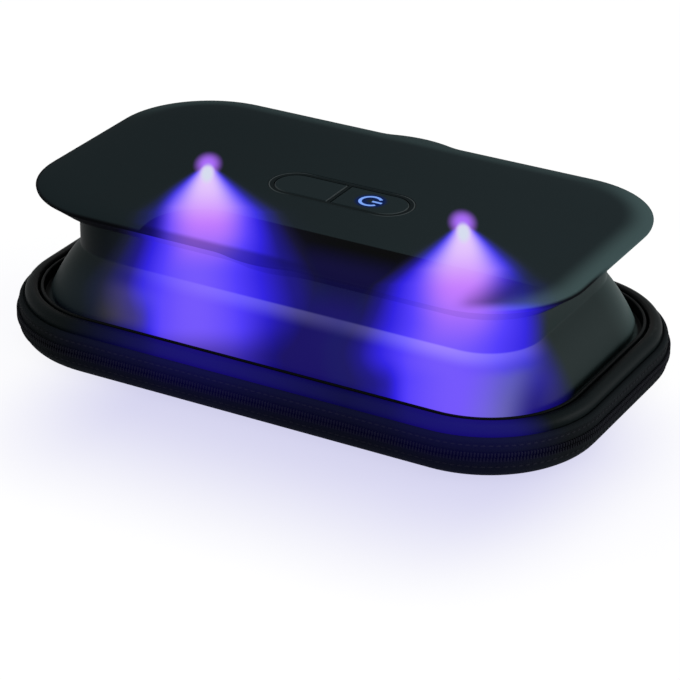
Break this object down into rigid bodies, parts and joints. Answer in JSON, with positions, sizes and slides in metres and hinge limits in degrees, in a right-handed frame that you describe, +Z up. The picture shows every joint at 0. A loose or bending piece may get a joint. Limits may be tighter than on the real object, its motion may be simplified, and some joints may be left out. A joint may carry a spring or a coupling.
{
  "type": "pop-up ultraviolet sanitizer case",
  "caption": "Pop-up zip case that sanitizes a phone: soft lower tray, collapsible sleeve, hard lid with a power key and ultraviolet lamps.",
  "frame": {"origin": "centre of the flat bottom of the case", "axes": "+X along the case, -Y its front, +Z up from the table to the lid"},
  "size_m": [0.2393, 0.1421, 0.0627],
  "materials": {
    "shell": "matte moulded foam shell with a fine fabric face",
    "webbing": "woven zip tape and hinge fabric",
    "zip_teeth": "nylon coil",
    "zip_metal": "black enamelled zinc",
    "hard_black": "satin moulded",
    "lid_skin": "soft-touch matte",
    "silicone": "matte smoked silicone",
    "control_gloss": "satin-gloss moulded",
    "control_face": "soft-touch matte",
    "symbol_blue": "lit light guide",
    "liner": "satin reflective film",
    "window_glass": "clear quartz",
    "reflector_metal": "metallised",
    "uv_emitter": "lit lamp package",
    "circuit_board": "green solder mask",
    "chip_black": "moulded epoxy",
    "foil_pouch": "foil pouch",
    "flex_amber": "polyimide film",
    "steel": "zinc plated"
  },
  "bodies": {
    "base": {"lower_shell": "shell", "tray_liner": "liner", "lower_zip_tape": "webbing", "lower_zip_coil": "zip_teeth", "lower_zip_stops": "zip_metal", "lower_hinge_leaf": "webbing"},
    "upper_frame": {"upper_shell": "shell", "upper_zip_tape": "webbing", "upper_zip_coil": "zip_teeth", "upper_zip_stops": "zip_metal", "upper_hinge_leaf": "webbing", "rim_bezel": "hard_black", "sleeve_clamp": "hard_black", "rim_screws": "steel", "pop_sleeve": "silicone"},
    "lid": {"lid_cover": "lid_skin", "lid_base": "hard_black", "neck_ring": "hard_black", "neck_screws": "steel", "lid_screws": "steel", "control_bezel": "control_gloss", "blank_plate": "control_face", "main_board": "circuit_board", "board_components": "chip_black", "tact_switch": "chip_black", "battery": "foil_pouch", "board_screws": "steel", "led_window_left": "window_glass", "reflector_left": "reflector_metal", "uv_led_left": "uv_emitter", "led_board_left": "circuit_board", "led_flex_left": "flex_amber", "led_window_right": "window_glass", "reflector_right": "reflector_metal", "uv_led_right": "uv_emitter", "led_board_right": "circuit_board", "led_flex_right": "flex_amber", "usb_board": "circuit_board", "usb_socket": "steel", "usb_flex": "flex_amber"},
    "power_key": {"power_key": "control_face", "power_symbol": "symbol_blue"},
    "zip_slider": {"zip_slider": "zip_metal"},
    "zip_pull": {"zip_pull": "zip_metal"}
  },
  "joints": [
    {"name": "case_hinge", "type": "hinge", "parent": "base", "child": "upper_frame", "pos_m": [0, 0.0714, 0.0105], "axis": [-1, 0, 0], "range_deg": [0, 105]},
    {"name": "lid_pop", "type": "slide", "parent": "upper_frame", "child": "lid", "axis": [0, 0, -1], "range_m": [0, 0.03], "deforming": ["pop_sleeve"]},
    {"name": "power_press", "type": "slide", "parent": "lid", "child": "power_key", "axis": [0, 0, -1], "range_m": [0, 0.0006], "stiffness_N_per_m": 2500},
    {"name": "zip_run", "type": "slide", "parent": "base", "child": "zip_slider", "axis": [0, -1, 0], "range_m": [0, 0.036]},
    {"name": "pull_swing", "type": "hinge", "parent": "zip_slider", "child": "zip_pull", "pos_m": [-0.11995, 0.018, 0.0105], "axis": [0, 0, -1], "range_deg": [0, 170]}
  ]
}
